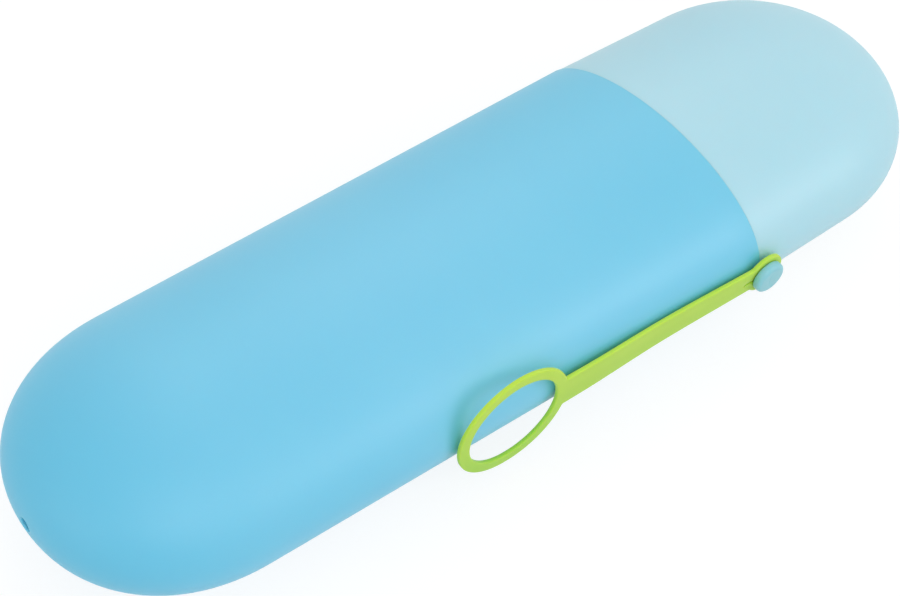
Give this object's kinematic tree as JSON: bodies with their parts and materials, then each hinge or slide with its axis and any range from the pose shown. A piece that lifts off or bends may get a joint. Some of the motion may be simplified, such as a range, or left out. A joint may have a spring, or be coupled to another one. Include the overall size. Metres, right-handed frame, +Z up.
{
  "type": "toothbrush case",
  "caption": "Capsule-shaped oval travel case for a toothbrush, with a pull-off cap, a side stud and a swivelling strap that ends in a finger loop.",
  "frame": {"origin": "centre of the flattened strip on the case's underside, at mid length, on the surface that the case rests on", "axes": "+X from the body's closed end towards the cap, +Z up through the oval's short way, strap and stud on the -Y side"},
  "size_m": [0.2099, 0.0677, 0.0351],
  "materials": {
    "body_plastic": "fine matte moulded polypropylene, mid blue",
    "cap_plastic": "fine matte moulded polypropylene, pale blue",
    "stud_plastic": "fine matte moulded polypropylene, pale blue with a hint of green",
    "strap_silicone": "matte lime silicone"
  },
  "bodies": {
    "body": {"case_body": "body_plastic"},
    "cap": {"case_cap": "cap_plastic", "strap_stud": "stud_plastic"},
    "strap": {"hanging_strap": "strap_silicone"}
  },
  "joints": [
    {"name": "cap_pull", "type": "slide", "parent": "body", "child": "cap", "axis": [1, 0, 0], "range_m": [0, 0.02]},
    {"name": "strap_swivel", "type": "hinge", "parent": "cap", "child": "strap", "pos_m": [0.04404, -0.03315, 0.01787], "axis": [0, -1, 0], "continuous": true}
  ]
}
